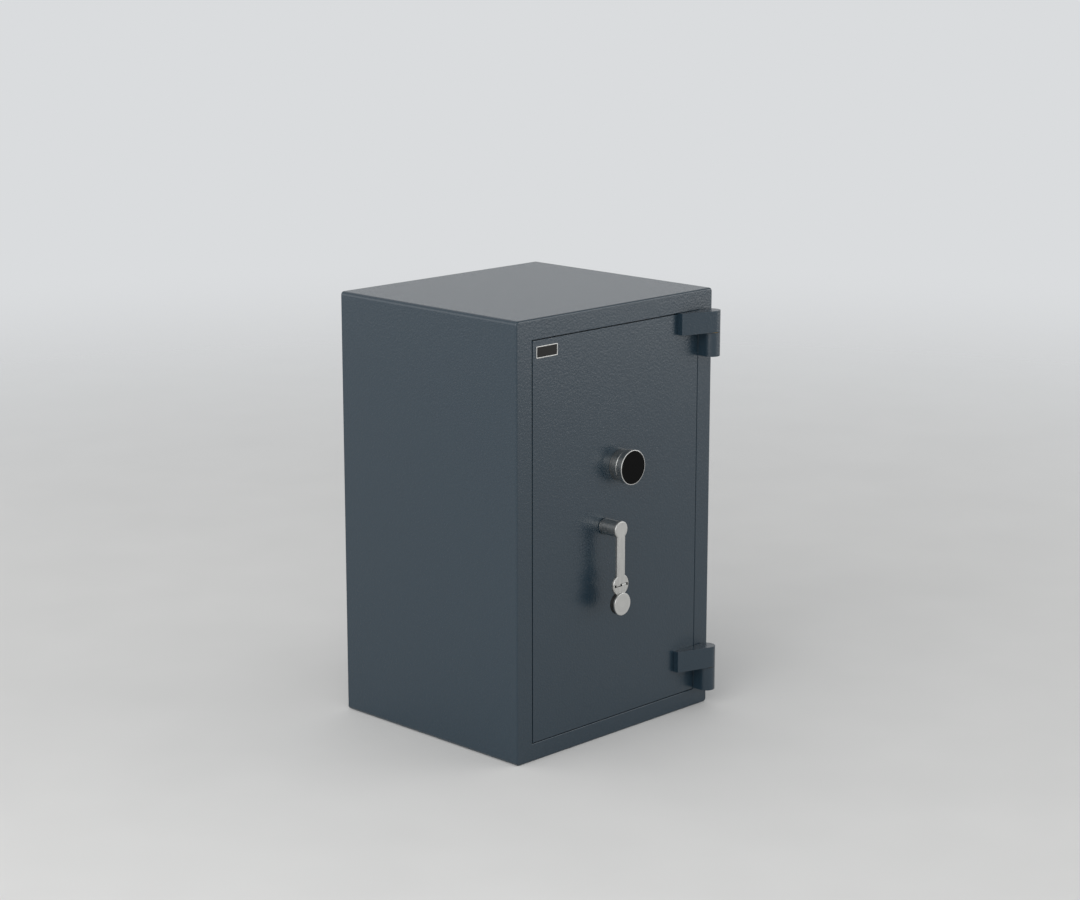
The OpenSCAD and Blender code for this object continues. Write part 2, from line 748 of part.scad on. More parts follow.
module boltwork_case() {
    color(paint) difference() {
        block([-pan_x, pan_x], [pan_y, case_y], pan_z);
        block([pan_t - pan_x, pan_x - pan_t], [pan_y - cut, case_y - pan_t],
              [pan_z[0] + pan_t, pan_z[1] - pan_t]);
        block([case_flange - pan_x, pan_x - case_flange], [pan_y, case_y + cut],
              [pan_z[0] + case_flange, pan_z[1] - case_flange]);
        for (z = bolt_z) rod_x(bolt_y, z, [-pan_x - cut, -pan_x + pan_t + cut], bolt_r + run_gap);
        translate([top_rod_x, bolt_y, pan_z[1] - pan_t - cut])
            cylinder(h = pan_t + 2 * cut, r = bolt_r + run_gap);
        translate([bottom_rod_x, bolt_y, pan_z[0] - cut])
            cylinder(h = pan_t + 2 * cut, r = bolt_r + run_gap);
        for (p = screw_places) rod_y(p[0], p[1], [case_y - pan_t - cut, case_y + cut], shank_r + slip_gap);
    }
}

module back_cover() {
    color(paint) difference() {
        slab([case_y, cover_y]) round_rect([-pan_x, pan_x], pan_z, cover_corner);
        for (p = screw_places) rod_y(p[0], p[1], [case_y - cut, cover_y + cut], shank_r + slip_gap);
    }
}

module cover_screws() {
    color(bright_steel) for (p = screw_places) {
        rod_y(p[0], p[1], [case_y - pan_t - shank_past, cover_y], shank_r);
        rod_y(p[0], p[1], [cover_y, cover_y + screw_head_h], cover_screw_r);
    }
}

// Fixed bar on the hinge side. Its front corner is cut back to clear the lip as the door swings
module dog_bar() {
    y0 = lip_y + dog_clear;
    y1 = bolt_y + bolt_r;
    tip = groove_x - dog_short;
    color(dull_steel) translate([0, 0, pan_z[0] + dog_end]) linear_extrude(pan_z[1] - pan_z[0] - 2 * dog_end)
        polygon([[pan_x, y0], [throat_x, y0], [tip, y0 + dog_slope], [tip, y1], [pan_x, y1]]);
}

// Strap: flat against the door, then flaring out to the barrel
module hinge_strap(z) {
    out = hinge_out - strap_t;
    tangent = 180 - atan2(out, strap_len) + acos(barrel_r / norm([strap_len, out]));
    step_x = door_x - hinge_x - strap_land;
    color(paint) difference() {
        translate([hinge_x, hinge_y, z]) union() {
            cylinder(h = strap_h, r = barrel_r);
            linear_extrude(strap_h) polygon([
                [-strap_len, hinge_out], [-strap_len, out],
                barrel_r * [cos(tangent), sin(tangent)], [0, 0], [0, barrel_r], [step_x, barrel_r],
                [step_x, hinge_out]]);
        }
        translate([hinge_x, hinge_y, z - cut]) cylinder(h = pin_up + cut + face_gap, r = pin_r + run_gap);
    }
}

module upper_hinge_strap() { hinge_strap(upper_strap_z); }
module lower_hinge_strap() { hinge_strap(lower_strap_z); }

module badge_inside() {
    round_rect([badge_x[0] + badge_rim_w, badge_x[1] - badge_rim_w],
               [badge_z[0] + badge_rim_w, badge_z[1] - badge_rim_w], badge_corner / 2);
}

module badge_plate() {
    color(black) slab([front_y - badge_t, front_y]) badge_inside();
}

module badge_rim() {
    color(bright_steel) slab([front_y - badge_rim_t, front_y]) difference() {
        round_rect(badge_x, badge_z, badge_corner);
        badge_inside();
    }
}

module handle_rosette() {
    r = hub_r - rosette_in;
    color(dull_steel) turned_out(handle_x, handle_z,
        [[rosette_bore, 0], [r, 0], [r, rosette_t - small_edge], [r - small_edge, rosette_t],
         [rosette_bore, rosette_t]]);
}

module spindle_bush() {
    color(brass) difference() {
        rod_y(handle_x, handle_z, [front_y, pan_y], bush_r);
        rod_y(handle_x, handle_z, [front_y - cut, pan_y + cut], spindle_r + run_gap);
    }
}

module lock_base() {
    color(bright_steel) turned_out(lock_x, lock_z,
        concat([[lock_spindle_r + run_gap, 0]], arc(base_r - small_edge, small_edge, small_edge, -90, 0),
               arc(base_r - base_edge, base_out - base_edge, base_edge, 0, 90),
               [[lock_spindle_r + run_gap, base_out]]));
}

module lock_sleeve() {
    color(dull_steel) difference() {
        rod_y(lock_x, lock_z, [front_y, pan_y], lock_sleeve_r);
        rod_y(lock_x, lock_z, [front_y - cut, pan_y + cut], lock_spindle_r + run_gap);
    }
}

module lock_case() {
    rear = lock_case_y + cut;
    color(dull_steel) difference() {
        block(lock_case_x, [pan_y, lock_case_y], lock_case_z);
        block([blade_x - slip_gap, blade_x + blade_w + slip_gap], [blade_y[0] - slip_gap, rear],
              [lock_case_z[0] - cut, blade_z[1] + blade_room]);
        block([blade_x - 3 * lock_module, blade_x], [blade_y[0] - slip_gap, rear],
              [lock_z - lock_r - lock_travel - rack_room, blade_z[1] + blade_room]);
        rod_y(lock_x, lock_z, [blade_y[0] - slip_gap, rear], lock_r + 2 * lock_module);
        rod_y(lock_x, lock_z, [pan_y - cut, rear], lock_spindle_r + 2 * run_gap);
        for (p = lock_screw_places)
            rod_y(p[0], p[1], [lock_case_y - lock_screw_len - cut, rear], lock_screw_r + slip_gap);
    }
}

module lock_cover() {
    color(bright_steel) difference() {
        slab([lock_case_y, lock_case_y + lock_cover_t]) round_rect(lock_case_x, lock_case_z, lock_wall);
        for (p = lock_screw_places)
            rod_y(p[0], p[1], [lock_case_y - cut, lock_case_y + lock_cover_t + cut], lock_screw_r + slip_gap);
    }
}

module lock_screws() {
    head_y = lock_case_y + lock_cover_t;
    color(dull_steel) for (p = lock_screw_places) {
        rod_y(p[0], p[1], [lock_case_y - lock_screw_len, head_y], lock_screw_r);
        rod_y(p[0], p[1], [head_y, head_y + lock_head_h], 2 * lock_screw_r);
    }
}

module stud(x, z, layer) {
    if (layer[0] > layer_a[0]) rod_y(x, z, [pan_y, layer[0] - face_gap], stud_head_r);
    rod_y(x, z, [pan_y, layer[1] + face_gap], stud_r);
    rod_y(x, z, [layer[1] + face_gap, layer[1] + face_gap + stud_head_t], stud_head_r);
}

module guide_studs() {
    color(bright_steel) {
        stud(drive_stud[0], drive_stud[1], layer_a);
        stud(lock_stud[0], lock_stud[1], layer_a);
        stud(top_rod_x, top_stud_z, layer_b);
        stud(bottom_rod_x, bottom_stud_z, layer_b);
    }
}

// ---- Handle ----

// A disc of the arm's plate, with rounded rims
module plate_disc(z, r) {
    turned_out(handle_x, z, disc_profile(r, [arm_back, arm_out], [arm_back_edge, arm_edge]));
}

// An upright bar of the arm's plate, with the same rounded edges
module plate_bar(z) {
    half = arm_w / 2;
    translate([handle_x, 0, z[0]]) linear_extrude(z[1] - z[0]) polygon(concat(
        arc(arm_edge - half, arm_span[0] + arm_edge, arm_edge, 180, 270),
        arc(half - arm_edge, arm_span[0] + arm_edge, arm_edge, 270, 360),
        arc(half - arm_back_edge, arm_span[1] - arm_back_edge, arm_back_edge, 0, 90),
        arc(arm_back_edge - half, arm_span[1] - arm_back_edge, arm_back_edge, 90, 180)));
}

// The round end of one half of the fold, between two heights, with knuckles where it isn't cut back for the
// other half's
module fold_end(z, cuts) {
    wide = [handle_x - fold_r - cut, handle_x + fold_r + cut];
    difference() {
        intersection() {
            plate_disc(fold_z, fold_r);
            union() {
                block(wide, arm_span, z);
                rod_x(fold_y, fold_z, wide, knuckle_r);
            }
        }
        for (c = cuts)
            block([handle_x + c[0], handle_x + c[1]], [arm_span[0] - cut, fold_y + fold_reach],
                  [fold_z - fold_reach, fold_z + fold_reach]);
    }
}

// The same with the pin's bore, and with the reliefs that go right through between the knuckles
module fold_half(z, cuts, bore) {
    difference() {
        fold_end(z, cuts);
        for (x = relief_x)
            block([handle_x + x - relief / 2, handle_x + x + relief / 2],
                  [arm_span[0] - cut, arm_span[1] + cut], [fold_z - fold_reach, fold_z + fold_reach]);
        rod_x(fold_y, fold_z, [handle_x - fold_r - 2 * cut, handle_x + fold_r + 2 * cut], bore);
    }
}

module handle_arm() {
    color(bright_steel) union() {
        plate_disc(handle_z, head_r);
        plate_bar([fold_z + fold_r / 2, handle_z]);
        fold_half([fold_z + fold_gap / 2, fold_z + fold_r], arm_cuts, fold_pin_r + fit_gap);
    }
}

module fold_pin() {
    color(dull_steel) rod_x(fold_y, fold_z, [handle_x - fold_r + arm_edge, handle_x + fold_r - arm_edge],
                            fold_pin_r);
}

module handle_hub() {
    h0 = rosette_t + face_gap;
    color(bright_steel) difference() {
        turned_out(handle_x, handle_z,
            concat([[0, h0]], arc(hub_r - small_edge, h0 + small_edge, small_edge, -90, 0),
                   [[hub_r, arm_back], [0, arm_back]]));
        rod_y(handle_x, handle_z, [front_y - arm_back + hub_cap, front_y], spindle_r + fit_gap);
        translate([handle_x, front_y - hub_screw_out, handle_z - hub_r - cut])
            cylinder(h = hub_r, r = hub_screw_r);
    }
}

module hub_screw() {
    color(dull_steel) translate([handle_x, front_y - hub_screw_out, handle_z - hub_r + small_edge])
        cylinder(h = hub_r - spindle_r - small_edge - weld_gap, r = hub_screw_r - slip_gap);
}

module handle_spindle() {
    color(dull_steel) rod_y(handle_x, handle_z,
                            [front_y - arm_back + hub_cap + weld_gap, pinion_y[1] + nut_h + thread_past],
                            spindle_r);
}

module drive_pinion() {
    color(brass) slab(pinion_y) translate([handle_x, handle_z])
        pinion(drive_r, drive_teeth, drive_module, drive_play, spindle_r + fit_gap);
}

module spindle_nut() {
    color(bright_steel) slab([pinion_y[1], pinion_y[1] + nut_h]) translate([handle_x, handle_z])
        difference() {
            circle(nut_r, $fn = 6);
            circle(spindle_r + fit_gap);
        }
}

// ---- Folding grip ----

module grip_leaf() {
    color(bright_steel) difference() {
        union() {
            plate_bar([knob_z - tongue_end, fold_z - fold_r / 2]);
            fold_half([fold_z - fold_r, fold_z - fold_gap / 2], leaf_cuts, fold_pin_r + run_gap);
        }
        rod_y(handle_x, knob_z, [arm_span[0] + knob_head_h, arm_span[1] + cut], knob_screw_r);
    }
}

// Black body of the knob, with a bed for the leaf and a seat for its screw
module grip_knob() {
    bed = [front_y - arm_out - cut, arm_span[1] + slip_gap];
    color(black) difference() {
        turned_out(handle_x, knob_z,
            disc_profile(knob_r - knob_rim, [knob_back, arm_out], [knob_edge, small_edge]));
        block([handle_x - arm_w / 2 - slip_gap, handle_x + arm_w / 2 + slip_gap], bed,
              [knob_z - tongue_end - slip_gap, knob_z + knob_r + cut]);
        rod_y(handle_x, fold_z, bed, fold_r + slip_gap);
        rod_y(handle_x, knob_z, [front_y - arm_back, front_y - knob_back + cut], knob_screw_r + slip_gap);
        rod_y(handle_x, knob_z, [front_y - knob_back - knob_head_h, front_y - knob_back + cut],
              knob_head_r + weld_gap);
    }
}

module knob_cap() {
    color(bright_steel) turned_out(handle_x, knob_z,
        disc_profile(knob_r, [arm_out, knob_out], [small_edge, knob_edge]));
}

module knob_screw() {
    head_y = front_y - knob_back - knob_head_h;
    color(dull_steel) {
        rod_y(handle_x, knob_z, [arm_span[0] + knob_head_h + weld_gap, head_y], knob_screw_r - slip_gap);
        rod_y(handle_x, knob_z, [head_y, head_y + knob_head_h - weld_gap], knob_head_r);
    }
}

// ---- Bolts ----

module side_bolt_bar() {
    drive_end = handle_x + (rack_teeth - 1) * drive_pitch;
    stud_shift = throw / 2;
    color(dull_steel) {
        difference() {
            block(bar_x, [bolt_y - bar_t / 2, bolt_y + bar_t / 2],
                  [bolt_z[0] - bar_end, bolt_z[side_bolt_count - 1] + bar_end]);
            for (z = bolt_z) rod_x(bolt_y, z, [bar_x[0] - cut, bar_x[1] + cut], tail_r + slip_gap);
        }
        for (z = [drive_arm_z - rod_w, lock_arm_z])
            block(bar_x, [layer_a[0], bolt_y], [z, z + rod_w]);
        slab(layer_a) difference() {
            translate([bar_x[0], drive_arm_z - rod_w]) square([drive_end - bar_x[0], rod_w]);
            translate([drive_stud[0] + stud_shift, drive_stud[1]]) slot(slot_len, stud_r + slip_gap);
        }
        slab(layer_a) translate([handle_x, handle_z - drive_r])
            rack(-1, rack_teeth, 0.5, drive_module, rack_play);
        slab(layer_a) difference() {
            translate([bar_x[0], lock_arm_z]) square([lug_x[1] - bar_x[0], rod_w]);
            translate([lock_stud[0] + stud_shift, lock_stud[1]]) slot(slot_len, stud_r + slip_gap);
        }
        block(lug_x, layer_a, [lock_arm_z, lug_top]);
    }
}

module side_bolts() {
    end = bolt_len + bar_w + tail_nut_h + thread_past;
    profile = concat([[0, 0]], arc(bolt_r - bolt_nose, bolt_nose, bolt_nose, -90, 0),
                     [[bolt_r, bolt_len], [tail_r, bolt_len], [tail_r, end], [0, end]]);
    color(bright_steel) for (z = bolt_z)
        translate([bolt_tip_x, bolt_y, z]) rotate([0, 90, 0]) rotate_extrude() polygon(profile);
}

module side_bolt_nuts() {
    color(bright_steel) for (z = bolt_z) translate([bar_x[1], bolt_y, z]) rotate([90, 0, 90]) difference() {
        linear_extrude(tail_nut_h) circle(tail_nut_r, $fn = 6);
        translate([0, 0, -cut]) cylinder(h = tail_nut_h + 2 * cut, r = tail_r + run_gap);
    }
}

// Upright rod: rack beside the pinion, slot for its stud, bore for the bolt's spigot.
// dir is 1 for the rod that goes up and -1 for the one that goes down
module upright_rod(x, dir, stud_z, end_z) {
    tail_z = handle_z - dir * drive_pitch * (rack_teeth - 1.5 + upright_phase);
    z = [min(tail_z, end_z), max(tail_z, end_z)];
    slab(layer_b) translate([handle_x - dir * drive_r, handle_z]) rotate(-dir * 90)
        rack(-1, rack_teeth, upright_phase, drive_module, rack_play);
    difference() {
        slab(layer_b) difference() {
            translate([x - rod_w / 2, z[0]]) square([rod_w, z[1] - z[0]]);
            translate([x, stud_z - dir * throw / 2]) rotate(90) slot(slot_len, stud_r + slip_gap);
        }
        translate([x, bolt_y, dir > 0 ? end_z - spigot_len - spigot_room : end_z - cut])
            cylinder(h = spigot_len + spigot_room + cut, r = spigot_r + run_gap);
    }
}

module top_rod() {
    color(dull_steel) upright_rod(top_rod_x, 1, top_stud_z, pan_z[1] + bolt_show - end_bolt_len);
}

module bottom_rod() {
    color(dull_steel) upright_rod(bottom_rod_x, -1, bottom_stud_z, pan_z[0] - bolt_show + end_bolt_len);
}

// Round bolt on the end of an upright rod, pointing up from its root
module end_bolt() {
    rotate_extrude() polygon(concat([[0, -spigot_len], [spigot_r, -spigot_len], [spigot_r, 0], [bolt_r, 0]],
                                    arc(bolt_r - bolt_nose, end_bolt_len - bolt_nose, bolt_nose, 0, 90),
                                    [[0, end_bolt_len]]));
}

module top_bolt() {
    color(bright_steel) translate([top_rod_x, bolt_y, pan_z[1] + bolt_show - end_bolt_len]) end_bolt();
}

module bottom_bolt() {
    color(bright_steel) translate([bottom_rod_x, bolt_y, pan_z[0] - bolt_show + end_bolt_len])
        mirror([0, 0, 1]) end_bolt();
}

// ---- Lock ----

module lock_ring() {
    back = ring_out - ring_t;
    face_r = ring_r - rim_w;
    seat = ring_out - face_sink - face_depth;
    color(bright_steel) difference() {
        turned_out(lock_x, lock_z, concat(
            [[0, back], [ring_r - ring_chamfer, back], [ring_r, back + ring_chamfer]],
            arc(ring_r - ring_edge, ring_out - ring_edge, ring_edge, 0, 90),
            [[face_r, ring_out], [face_r, seat], [0, seat]]));
        rod_y(lock_x, lock_z, [front_y - back - ring_bore, front_y - back + cut], lock_spindle_r + fit_gap);
    }
}

module lock_face() {
    color(black) turned_out(lock_x, lock_z,
        disc_profile(ring_r - rim_w - weld_gap, [ring_out - face_sink - face_depth, ring_out - face_sink],
                     [slip_gap, small_edge]));
}

module lock_spindle() {
    color(dull_steel) {
        rod_y(lock_x, lock_z, [front_y - ring_out + ring_t - ring_bore + weld_gap, blade_y[1] - face_gap],
              lock_spindle_r);
        slab([blade_y[0] + face_gap, blade_y[1] - face_gap]) translate([lock_x, lock_z])
            rotate(90) pinion(lock_r, lock_teeth, lock_module, lock_play, lock_spindle_r - small_edge);
    }
}

module lock_bolt() {
    color(brass) {
        block([blade_x, blade_x + blade_w], blade_y, blade_z);
        slab(blade_y) translate([lock_x + lock_r, lock_z]) rotate(90)
            rack(-1, ceil(lock_travel / (PI * lock_module)) + 3, 0.5, lock_module, lock_play);
    }
}

outer_shell();
back_plate();
door_frame();
frame_seal();
body_fill();
inner_liner();
anchor_sleeve();
shelf_rails();
shelf_clips();
upper_shelf();
lower_shelf();
upper_hinge_barrel();
lower_hinge_barrel();
upper_hinge_pin();
lower_hinge_pin();
hinge_washers();
door_plate();
door_pan();
door_fill();
hard_plate();
boltwork_case();
back_cover();
cover_screws();
dog_bar();
upper_hinge_strap();
lower_hinge_strap();
badge_plate();
badge_rim();
handle_rosette();
spindle_bush();
lock_base();
lock_sleeve();
lock_case();
lock_cover();
lock_screws();
guide_studs();
handle_arm();
handle_hub();
hub_screw();
handle_spindle();
drive_pinion();
spindle_nut();
fold_pin();
grip_leaf();
grip_knob();
knob_cap();
knob_screw();
side_bolt_bar();
side_bolts();
side_bolt_nuts();
top_rod();
top_bolt();
bottom_rod();
bottom_bolt();
lock_ring();
lock_face();
lock_spindle();
lock_bolt();
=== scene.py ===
# %% [markdown]
# # A floor-standing steel safe
#
# The safe is a box of thick painted steel with one heavy door. On the door sit a turning lock knob with a
# black face, a lever handle whose lower end folds, two barrel hinges and a small framed badge. The shapes
# come ready made from the construction model. What is left to do here is what the eye reads as real: the
# paint with its fine texture, the satin and ground steel, the broken edges that catch light, the small
# screws, and a calm studio to stand in.
#
# The first cell loads the shapes. Each one is an object of its own and already in its place, so nothing has
# to be moved.

# %% Load the construction model
import math

import bmesh
import bpy
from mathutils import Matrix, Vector


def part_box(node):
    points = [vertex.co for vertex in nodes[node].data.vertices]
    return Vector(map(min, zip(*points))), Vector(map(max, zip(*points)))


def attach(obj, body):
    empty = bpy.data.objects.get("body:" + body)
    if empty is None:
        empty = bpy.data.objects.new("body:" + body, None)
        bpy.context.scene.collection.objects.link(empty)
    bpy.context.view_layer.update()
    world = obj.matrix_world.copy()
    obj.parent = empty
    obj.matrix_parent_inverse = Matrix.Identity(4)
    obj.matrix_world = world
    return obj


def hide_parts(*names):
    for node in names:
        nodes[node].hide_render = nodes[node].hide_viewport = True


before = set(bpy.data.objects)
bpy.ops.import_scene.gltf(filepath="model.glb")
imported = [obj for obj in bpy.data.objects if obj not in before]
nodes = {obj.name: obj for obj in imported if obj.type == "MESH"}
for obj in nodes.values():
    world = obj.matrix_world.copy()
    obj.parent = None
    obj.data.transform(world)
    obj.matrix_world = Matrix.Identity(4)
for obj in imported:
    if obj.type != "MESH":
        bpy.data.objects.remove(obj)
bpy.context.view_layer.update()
MM = 0.001

# %% [markdown]
# ## The camera
#
# A long lens from some way off flattens the perspective, so that the upright edges stay nearly parallel. The
# camera stands on a sphere round a point inside the safe. Two angles and a distance say where, which is
# easier to read and to change than a position and three rotations.

# %% Camera
AIM = Vector((0.037, -0.001, 0.579))     # the point in the middle of the picture
AZIMUTH = math.radians(-45.44)           # 0 looks straight at the door, negative stands to its left
ELEVATION = math.radians(13.0)
DISTANCE = 5.513
LENS = 83.7                              # millimetres, on a sensor 36 mm wide

back = Vector((
    math.sin(AZIMUTH) * math.cos(ELEVATION),
    -math.cos(AZIMUTH) * math.cos(ELEVATION),
    math.sin(ELEVATION),
))
camera_data = bpy.data.cameras.new("studio_camera")
camera_data.lens = LENS
camera = bpy.data.objects.new("studio_camera", camera_data)
camera.location = AIM + back * DISTANCE
camera.rotation_euler = back.to_track_quat("Z", "Y").to_euler()
bpy.context.scene.collection.objects.link(camera)
bpy.context.scene.camera = camera
print(f"camera at {camera.location.x:.2f}, {camera.location.y:.2f}, {camera.location.z:.2f}")

# %% [markdown]
# ## Helpers for materials
#
# Colours are written the way a paint chart or a picture editor gives them, as sRGB hex values. Shaders
# calculate in linear light, so one function turns one into the other. A second function adds a node to a
# material together with its settings and its links.
#
# No surface is one flat colour, so nearly every finish below is built from the same four parts: a noise of a
# real size, a blend of two close colours by it, a roughness that follows it, and a bump. Each part is one
# small function here, and a material further down then reads like a recipe.


# %% Colour and node helpers
def linear(hex_colour):
    """An sRGB hex colour such as #8a8a8a as linear red, green, blue and alpha."""
    parts = [int(hex_colour[i:i + 2], 16) / 255 for i in (1, 3, 5)]
    return [p / 12.92 if p <= 0.04045 else ((p + 0.055) / 1.055) ** 2.4 for p in parts] + [1.0]


def add(tree, kind, inputs=None, **settings):
    """Adds a node with its own settings. An input takes a value or another node's output."""
    node = tree.nodes.new(kind)
    for name, value in settings.items():
        setattr(node, name, value)
    for name, value in (inputs or {}).items():
        if isinstance(value, bpy.types.NodeSocket):
            tree.links.new(value, node.inputs[name])
        else:
            node.inputs[name].default_value = value
    return node


def new_material(name, **constants):
    """A material, its node tree and its shader, with the constants set on the shader's own sockets."""
    made = bpy.data.materials.new(name)
    made.use_nodes = True
    shader = made.node_tree.nodes["Principled BSDF"]
    for socket, value in constants.items():
        shader.inputs[socket.replace("_", " ")].default_value = value
    return made, made.node_tree, shader


def place(tree):
    """The point being shaded, in metres in the safe's own frame, so that patterns have a real size."""
    return add(tree, "ShaderNodeTexCoord").outputs["Object"]


def grain(tree, size, where, detail=2.0):
    """Noise whose lumps are about `size` metres across. More detail adds finer lumps on top."""
    noise = add(tree, "ShaderNodeTexNoise", {"Vector": where, "Scale": 1 / size, "Detail": detail})
    return noise.outputs["Fac"]


NOISE_LOW, NOISE_HIGH = 0.3, 0.7         # nearly all of a noise lies between these two values


def spread(tree, value, low, high):
    """Stretches the middle of a noise, where nearly all of it lies, to run from low to high."""
    return add(tree, "ShaderNodeMapRange", {
        "Value": value, "From Min": NOISE_LOW, "From Max": NOISE_HIGH, "To Min": low, "To Max": high,
    }).outputs["Result"]


# A mix of colours keeps its factor at input 0 and its colours at inputs 6 and 7, and gives output 2.
FACTOR, FIRST, SECOND, MIXED = 0, 6, 7, 2


def mix_colours(tree, factor, first, second):
    mix = add(tree, "ShaderNodeMix", {FACTOR: factor, FIRST: first, SECOND: second}, data_type="RGBA")
    return mix.outputs[MIXED]


def blend_colours(tree, value, first, second):
    """Mixes two hex colours by a noise."""
    return mix_colours(tree, spread(tree, value, 0, 1), linear(first), linear(second))


def bump(tree, height, depth, below=None):
    """A bump `depth` metres deep, laid over another one if that is given."""
    inputs = {"Height": height, "Distance": depth, "Strength": 1.0}
    if below:
        inputs["Normal"] = below
    return add(tree, "ShaderNodeBump", inputs).outputs["Normal"]


print("#808080 in linear light:", [round(part, 3) for part in linear("#808080")])


# %% [markdown]
# ## The paint
#
# Safes are finished in a tough two-part coating, sprayed so that it dries with a fine leathery grain called
# orange peel. It hides small dents in the steel. The grain is far shallower than it is wide, but because the
# coat is half glossy, it breaks up every reflection. That is why the door looks speckled near its top, where
# the mirror image of a lamp just begins. A picture of such paint could be laid on the faces, but it would
# show seams at the edges and blur up close. Two noises in real sizes do neither: a coarse one for the peel
# and a fine one for the speckle. The colour itself hardly changes.

# %% Textured coating, blue-grey
PEEL = 5 * MM                            # the real peel is about 4 mm, drawn coarser so that it shows
PEEL_DEPTH = 0.42 * MM                   # really a few hundredths, drawn deeper so that it shows
SPECKLE = 2.2 * MM                       # the same for the speckle, which really is about 1 mm across
SPECKLE_DEPTH = 0.24 * MM
COATING_IOR = 1.55                       # epoxy and polyurethane coats lie between 1.50 and 1.58


def textured_coating(name, dark, pale, roughness, change=0.02):
    made, tree, shader = new_material(name, IOR=COATING_IOR)
    where = place(tree)
    peel = grain(tree, PEEL, where)
    speckle = grain(tree, SPECKLE, where, detail=3.0)
    tree.links.new(blend_colours(tree, speckle, dark, pale), shader.inputs["Base Color"])
    tree.links.new(spread(tree, peel, roughness - change, roughness + change), shader.inputs["Roughness"])
    waves = bump(tree, peel, PEEL_DEPTH)
    tree.links.new(bump(tree, speckle, SPECKLE_DEPTH, waves), shader.inputs["Normal"])
    return made


outer_coating = textured_coating("textured_coating", "#1e2e39", "#21323d", 0.24)
print(f"{outer_coating.name}: peel of {PEEL / MM:.1f} mm, speckle of {SPECKLE / MM:.1f} mm")

# %% [markdown]
# ## Stainless steel
#
# The lever, the cap of its knob and the lock knob are stainless steel. Metal has no colour under its gloss:
# what shows is the room, blurred by the marks of the last tool. A flat lever is brushed along its length. A
# knob is turned on a lathe, so its marks run in circles round its axis, on the face and along the side alike.
# Noise that sees only the distance from the axis and the depth along it gives exactly those circles.
#
# Where the lever folds, three reliefs between the knuckles go right through the steel. Their walls are
# painted near black as painted shade, and the pin in the middle is black oxide, so from the front they look
# like dark holes. Plain arithmetic on the position finds them: a small box round each one, behind the front
# face.

# %% Brushed and turned stainless steel
BRUSHED = ("#aaaaa8", "#bbbbb8")         # the darkest and the palest of the brushed marks
TURNED = ("#b5b5b3", "#c6c6c3")          # and of the turned ones, which are finer
TURNED_PAINTED_LIGHTER = ("#c4c4c1", "#d6d6d3")   # the same turned steel painted lighter for the hub, as painted light
RELIEF_SIDE = 17.5 * MM                  # from the middle of the fold to the reliefs at its sides
RELIEF_REACH = 2.6 * MM                  # half the width of a relief, and a little more
RELIEF_RISE = 2.85 * MM                  # half its height, and a little more
RELIEF_EDGE = 0.2 * MM                   # how far behind the front face its painted shade starts
# the near-black colour of the painted shade inside the reliefs
RELIEF_PAINTED_SHADE = "#161616"
BRUSH_MARK = 0.7 * MM                    # really about 0.1 mm wide, drawn coarser so that it shows
BRUSH_STRETCH = 0.03                     # a mark is 1 / this times as long as it is wide
TOOL_MARK = 0.6 * MM                     # the same for the rings that a lathe leaves


def calculate(tree, operation, first, second=0.0):
    """One step of plain arithmetic on every point that is shaded."""
    return add(tree, "ShaderNodeMath", {0: first, 1: second}, operation=operation).outputs[0]


def in_the_reliefs(tree, where, fold):
    """1 inside the three reliefs that go through the fold between its knuckles, and 0 elsewhere."""
    off = add(tree, "ShaderNodeVectorMath", {0: where, 1: fold}, operation="SUBTRACT")
    apart = add(tree, "ShaderNodeSeparateXYZ", {"Vector": off.outputs["Vector"]}).outputs
    across = calculate(tree, "ABSOLUTE", apart["X"])
    to_side = calculate(tree, "ABSOLUTE", calculate(tree, "SUBTRACT", across, RELIEF_SIDE))
    beside = calculate(tree, "LESS_THAN", calculate(tree, "MINIMUM", across, to_side), RELIEF_REACH)
    level = calculate(tree, "LESS_THAN", calculate(tree, "ABSOLUTE", apart["Z"]), RELIEF_RISE)
    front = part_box("handle_arm")[0].y - fold.y
    under = calculate(tree, "GREATER_THAN", apart["Y"], front + RELIEF_EDGE)
    return calculate(tree, "MULTIPLY", calculate(tree, "MULTIPLY", beside, level), under)


def brushed_stainless(fold):
    """Steel brushed from top to bottom, with near-black painted shade in the reliefs round the point `fold`.
    """
    made, tree, shader = new_material("brushed_stainless", Metallic=1.0)
    where = place(tree)
    along_the_lever = {0: where, 1: (1.0, 1.0, BRUSH_STRETCH)}
    stretched = add(tree, "ShaderNodeVectorMath", along_the_lever, operation="MULTIPLY")
    lines = grain(tree, BRUSH_MARK, stretched.outputs["Vector"], detail=4.0)
    steel = blend_colours(tree, lines, *BRUSHED)
    # painted shade: the reliefs' walls are coloured near black where shade falls inside them
    steel_with_painted_shade = mix_colours(tree, in_the_reliefs(tree, where, fold), steel, linear(RELIEF_PAINTED_SHADE))
    tree.links.new(steel_with_painted_shade, shader.inputs["Base Color"])
    tree.links.new(spread(tree, lines, 0.36, 0.48), shader.inputs["Roughness"])
    tree.links.new(bump(tree, lines, 0.01 * MM), shader.inputs["Normal"])
    return made


